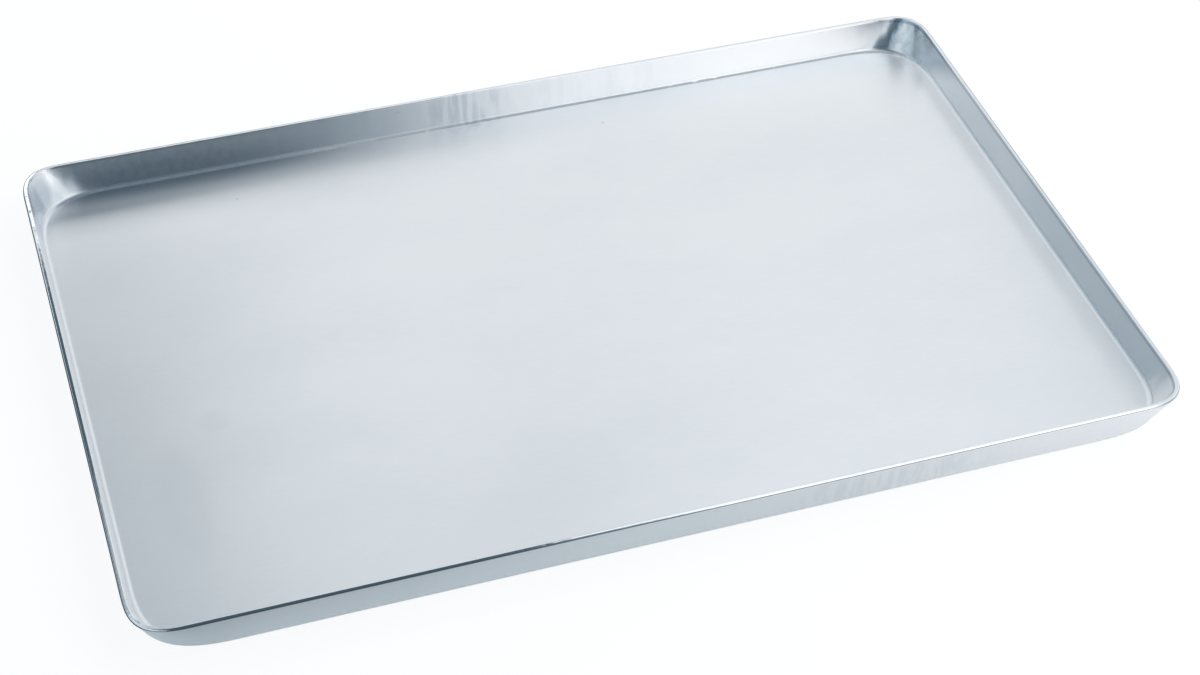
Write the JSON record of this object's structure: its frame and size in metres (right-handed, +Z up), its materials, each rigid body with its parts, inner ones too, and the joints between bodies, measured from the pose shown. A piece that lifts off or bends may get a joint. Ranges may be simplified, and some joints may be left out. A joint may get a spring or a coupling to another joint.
{
  "type": "display tray",
  "caption": "Shallow rectangular tray of bare satin aluminium sheet, with leaning plain walls, rounded corners and a smooth open rim; holds and shows goods laid on its flat floor.",
  "frame": {"origin": "centre of the flat underside of the floor, in the plane that the tray rests on", "axes": "+X along the long side of the tray, +Y along the short side, +Z up from the floor towards the open rim"},
  "size_m": [0.6, 0.4, 0.024],
  "materials": {
    "satin_aluminium": "satin, fine rolling grain along the length"
  },
  "bodies": {
    "root": {"tray_shell": "satin_aluminium"}
  },
  "joints": []
}
